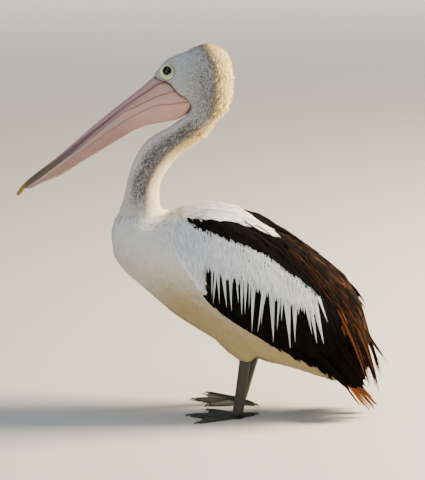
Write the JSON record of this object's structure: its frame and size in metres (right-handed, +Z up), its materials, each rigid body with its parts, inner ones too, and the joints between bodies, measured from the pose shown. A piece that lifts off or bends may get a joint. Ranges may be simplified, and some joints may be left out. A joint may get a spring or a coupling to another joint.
{
  "type": "pelican",
  "caption": "Standing water bird with a long pouched bill, curved neck, folded wings, short fan tail and webbed feet.",
  "frame": {"origin": "centre of the bird's box on the floor, between the feet and the bill's tip", "axes": "-X is where the bird faces, +Y is its right side, +Z is up; the soles rest on the plane z = 0"},
  "size_m": [0.8892, 0.2704, 0.9064],
  "materials": {
    "white_feather": "matte, soft contour feathers",
    "grey_neck": "matte, short bristly feathers speckled grey",
    "black_feather": "smooth flight feathers with a faint sheen",
    "brown_feather": "worn, rufous-edged feathers",
    "bill": "smooth satin horn and skin, pink",
    "nail": "hard satin horn, olive yellow",
    "pouch": "thin bare elastic skin, satin",
    "eye": "wet, glossy, near black",
    "ring": "bare skin, pale yellow green",
    "leg": "scaled slate-grey skin",
    "claw": "horn, satin"
  },
  "bodies": {
    "root": {"bill_lower": "bill", "bill_nail": "nail", "bill_upper": "bill", "claw_hind_left": "claw", "claw_hind_right": "claw", "claw_inner_left": "claw", "claw_inner_right": "claw", "claw_middle_left": "claw", "claw_middle_right": "claw", "claw_outer_left": "claw", "claw_outer_right": "claw", "coverts_left": "white_feather", "coverts_right": "white_feather", "eye_left": "eye", "eye_right": "eye", "eye_ring_left": "ring", "eye_ring_right": "ring", "foot_left": "leg", "foot_right": "leg", "head": "white_feather", "neck_lower": "white_feather", "neck_middle": "grey_neck", "neck_upper": "grey_neck", "pouch": "pouch", "primaries_left": "black_feather", "primaries_right": "black_feather", "tail": "brown_feather", "tarsus_left": "leg", "tarsus_right": "leg", "thigh_left": "white_feather", "thigh_right": "white_feather", "trunk": "white_feather", "wing_left": "black_feather", "wing_right": "black_feather"}
  },
  "joints": []
}
